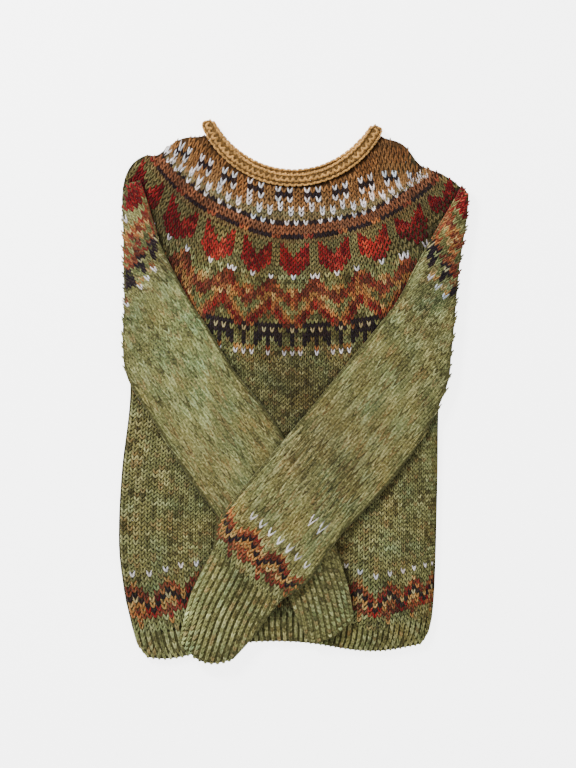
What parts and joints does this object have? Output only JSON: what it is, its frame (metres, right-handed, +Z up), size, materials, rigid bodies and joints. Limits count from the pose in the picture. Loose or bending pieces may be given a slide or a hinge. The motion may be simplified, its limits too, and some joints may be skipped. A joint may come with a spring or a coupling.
{
  "type": "fair isle jumper",
  "caption": "Hand-knitted yoke jumper laid flat, both sleeves folded across its front, with rolled neck, patterned round yoke and ribbed hem and cuffs.",
  "frame": {"origin": "on the surface that the garment lies on, under the middle of its outline", "axes": "+Y from hem to neck, +X to the right as seen from above, +Z up out of the surface"},
  "size_m": [0.4389, 0.6784, 0.0232],
  "materials": {
    "yoke_wool": "stranded colourwork in rough wool, rust, brick red, near black, white and moss green",
    "body_wool": "plain knitted moss green tweed wool, matt and slightly hairy",
    "sleeve_wool": "plain knitted moss green tweed wool with a patterned band, matt and slightly hairy",
    "rib_wool": "one by one rib in moss green tweed wool, matt",
    "neck_wool": "rolled reverse stocking stitch in mustard brown wool, matt"
  },
  "bodies": {
    "root": {"yoke_front": "yoke_wool", "yoke_back": "yoke_wool", "body_front": "body_wool", "body_back": "body_wool", "hem_rib_front": "rib_wool", "hem_rib_back": "rib_wool", "neck_roll_front": "neck_wool", "neck_roll_back": "neck_wool", "sleeve_left": "sleeve_wool", "sleeve_right": "sleeve_wool", "cuff_left": "rib_wool", "cuff_right": "rib_wool"}
  },
  "joints": []
}
